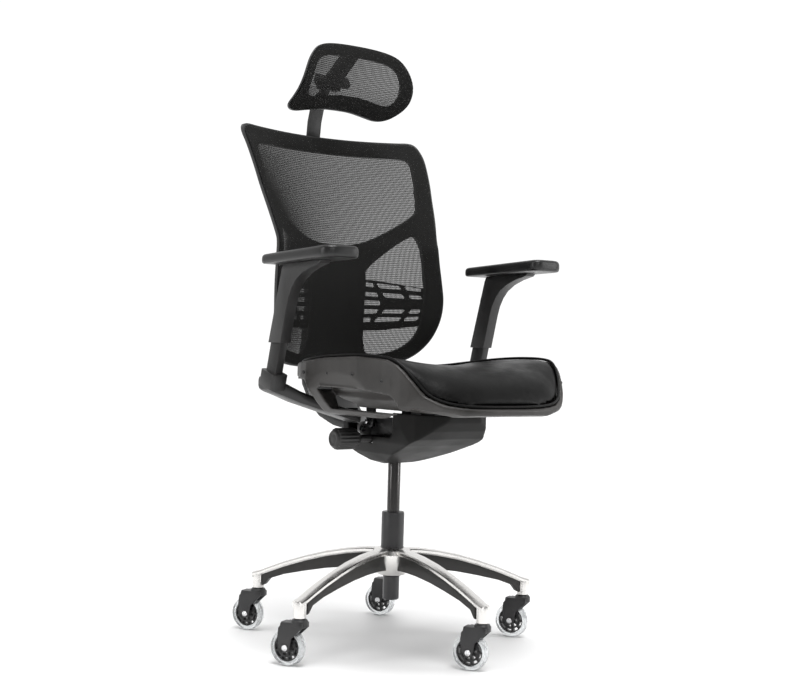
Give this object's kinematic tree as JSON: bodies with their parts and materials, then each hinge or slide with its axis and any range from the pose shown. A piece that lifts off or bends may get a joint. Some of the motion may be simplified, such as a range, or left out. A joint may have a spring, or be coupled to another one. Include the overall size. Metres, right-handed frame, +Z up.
{
  "type": "swivel office chair",
  "caption": "Office chair: star base on casters, gas column, tilting leather seat, reclining mesh back with headrest, sliding arms with turning pads.",
  "frame": {"origin": "on the floor, under the axis of the gas column", "axes": "+Z up, the sitter faces -Y, the sitter's left hand is at +X; both arms and the back are symmetric about X = 0"},
  "size_m": [0.6585, 0.7598, 1.343],
  "materials": {
    "black_nylon": "fine-grained black moulded nylon",
    "dark_grey_nylon": "satin dark grey moulded nylon",
    "soft_black_pad": "soft-touch black polyurethane",
    "black_leather": "smooth black leather",
    "black_mesh": "open black elastic weave",
    "polished_alloy": "polished, with black painted recesses",
    "bright_steel": "bright steel",
    "black_steel": "black coated steel",
    "clear_tyre": "clear polyurethane"
  },
  "bodies": {
    "base": {"base_star": "polished_alloy", "column_tube": "black_nylon"},
    "column": {"piston": "black_steel"},
    "mechanism": {"mechanism_housing": "dark_grey_nylon", "tilt_box": "black_steel", "seat_pivot_pin": "bright_steel", "back_pivot_pin": "bright_steel", "tilt_spring": "black_steel", "arm_bracket_right": "black_nylon", "arm_bracket_left": "black_nylon"},
    "tension": {"tension_knob": "dark_grey_nylon", "tension_shaft": "black_steel"},
    "lever": {"height_lever": "black_nylon"},
    "seat": {"seat_shell": "dark_grey_nylon", "seat_belly_right": "dark_grey_nylon", "seat_belly_left": "dark_grey_nylon", "seat_cushion": "black_leather", "seat_bracket": "black_steel"},
    "back": {"back_frame": "black_nylon", "back_mesh": "black_mesh", "lumbar_lattice": "black_nylon", "back_spine": "black_nylon", "headrest_socket": "black_nylon"},
    "headrest_height": {"headrest_stem": "black_nylon", "headrest_pin": "bright_steel"},
    "headrest": {"headrest_bracket": "black_nylon", "headrest_frame": "black_nylon", "headrest_mesh": "black_mesh"},
    "arm_right": {"arm_sleeve_right": "black_nylon"},
    "arm_top_right": {"arm_pad_right": "soft_black_pad", "arm_pad_pin_right": "bright_steel"},
    "button_right": {"arm_button_right": "dark_grey_nylon"},
    "arm_left": {"arm_sleeve_left": "black_nylon"},
    "arm_top_left": {"arm_pad_left": "soft_black_pad", "arm_pad_pin_left": "bright_steel"},
    "button_left": {"arm_button_left": "dark_grey_nylon"},
    "caster_1": {"caster_fork_1": "black_nylon", "wheel_axle_1": "bright_steel"},
    "wheel_1": {"wheel_hub_1": "black_nylon", "wheel_tyre_1": "clear_tyre"},
    "caster_2": {"caster_fork_2": "black_nylon", "wheel_axle_2": "bright_steel"},
    "wheel_2": {"wheel_hub_2": "black_nylon", "wheel_tyre_2": "clear_tyre"},
    "caster_3": {"caster_fork_3": "black_nylon", "wheel_axle_3": "bright_steel"},
    "wheel_3": {"wheel_hub_3": "black_nylon", "wheel_tyre_3": "clear_tyre"},
    "caster_4": {"caster_fork_4": "black_nylon", "wheel_axle_4": "bright_steel"},
    "wheel_4": {"wheel_hub_4": "black_nylon", "wheel_tyre_4": "clear_tyre"},
    "caster_5": {"caster_fork_5": "black_nylon", "wheel_axle_5": "bright_steel"},
    "wheel_5": {"wheel_hub_5": "black_nylon", "wheel_tyre_5": "clear_tyre"}
  },
  "joints": [
    {"name": "gas_lift", "type": "slide", "parent": "base", "child": "column", "axis": [0, 0, 1], "range_m": [-0.09, 0]},
    {"name": "seat_swivel", "type": "hinge", "parent": "column", "child": "mechanism", "pos_m": [0, 0, 0.42], "axis": [0, 0, 1], "continuous": true},
    {"name": "back_recline", "type": "hinge", "parent": "mechanism", "child": "back", "pos_m": [0, 0.045, 0.47], "axis": [-1, 0, 0], "range_deg": [0, 20], "stiffness_Nm_per_rad": 120},
    {"name": "seat_tilt", "type": "hinge", "parent": "mechanism", "child": "seat", "pos_m": [0, 0.008, 0.488], "axis": [-1, 0, 0], "range_deg": [0, 8]},
    {"name": "tension_turn", "type": "hinge", "parent": "mechanism", "child": "tension", "pos_m": [-0.1, -0.035, 0.455], "axis": [-1, 0, 0], "continuous": true},
    {"name": "height_lever_lift", "type": "hinge", "parent": "mechanism", "child": "lever", "pos_m": [0.058, -0.03, 0.482], "axis": [0, -1, 0], "range_deg": [0, 8], "stiffness_Nm_per_rad": 4, "springref_deg": -2.86},
    {"name": "headrest_raise", "type": "slide", "parent": "back", "child": "headrest_height", "axis": [0, -0.1075, 0.9942], "range_m": [0, 0.02]},
    {"name": "headrest_tilt", "type": "hinge", "parent": "headrest_height", "child": "headrest", "pos_m": [0, 0.309, 1.262], "axis": [1, 0, 0], "range_deg": [-15, 20]},
    {"name": "arm_height_right", "type": "slide", "parent": "mechanism", "child": "arm_right", "axis": [0, -0.2534, 0.9673], "range_m": [-0.04, 0.04]},
    {"name": "arm_pad_turn_right", "type": "hinge", "parent": "arm_right", "child": "arm_top_right", "pos_m": [-0.2765, -0.02, 0.82113], "axis": [0, 0.0355, 0.9994], "range_deg": [-15, 15]},
    {"name": "arm_button_press_right", "type": "slide", "parent": "arm_right", "child": "button_right", "axis": [0, -0.9673, -0.2534], "range_m": [0, 0.0008], "stiffness_N_per_m": 600, "springref_m": -0.002},
    {"name": "arm_height_left", "type": "slide", "parent": "mechanism", "child": "arm_left", "axis": [0, -0.2534, 0.9673], "range_m": [-0.04, 0.04]},
    {"name": "arm_pad_turn_left", "type": "hinge", "parent": "arm_left", "child": "arm_top_left", "pos_m": [0.2765, -0.02, 0.82113], "axis": [0, 0.0355, 0.9994], "range_deg": [-15, 15]},
    {"name": "arm_button_press_left", "type": "slide", "parent": "arm_left", "child": "button_left", "axis": [0, -0.9673, -0.2534], "range_m": [0, 0.0008], "stiffness_N_per_m": 600, "springref_m": -0.002},
    {"name": "caster_swivel_1", "type": "hinge", "parent": "base", "child": "caster_1", "pos_m": [0, -0.315, 0.1], "axis": [0, 0, 1], "continuous": true},
    {"name": "wheel_roll_1", "type": "hinge", "parent": "caster_1", "child": "wheel_1", "pos_m": [-0.012, -0.294, 0.038], "axis": [0.8682, 0.4961, 0], "continuous": true},
    {"name": "caster_swivel_2", "type": "hinge", "parent": "base", "child": "caster_2", "pos_m": [0.29958, -0.09734, 0.1], "axis": [0, 0, 1], "continuous": true},
    {"name": "wheel_roll_2", "type": "hinge", "parent": "caster_2", "child": "wheel_2", "pos_m": [0.28758, -0.07634, 0.038], "axis": [0.8682, 0.4961, 0], "continuous": true},
    {"name": "caster_swivel_3", "type": "hinge", "parent": "base", "child": "caster_3", "pos_m": [0.18515, 0.25484, 0.1], "axis": [0, 0, 1], "continuous": true},
    {"name": "wheel_roll_3", "type": "hinge", "parent": "caster_3", "child": "wheel_3", "pos_m": [0.17315, 0.27584, 0.038], "axis": [0.8682, 0.4961, 0], "continuous": true},
    {"name": "caster_swivel_4", "type": "hinge", "parent": "base", "child": "caster_4", "pos_m": [-0.18515, 0.25484, 0.1], "axis": [0, 0, 1], "continuous": true},
    {"name": "wheel_roll_4", "type": "hinge", "parent": "caster_4", "child": "wheel_4", "pos_m": [-0.19715, 0.27584, 0.038], "axis": [0.8682, 0.4961, 0], "continuous": true},
    {"name": "caster_swivel_5", "type": "hinge", "parent": "base", "child": "caster_5", "pos_m": [-0.29958, -0.09734, 0.1], "axis": [0, 0, 1], "continuous": true},
    {"name": "wheel_roll_5", "type": "hinge", "parent": "caster_5", "child": "wheel_5", "pos_m": [-0.31158, -0.07634, 0.038], "axis": [0.8682, 0.4961, 0], "continuous": true}
  ],
  "couplings": [
    {"joint": "seat_tilt", "follows": "back_recline", "ratio": 0.4}
  ]
}
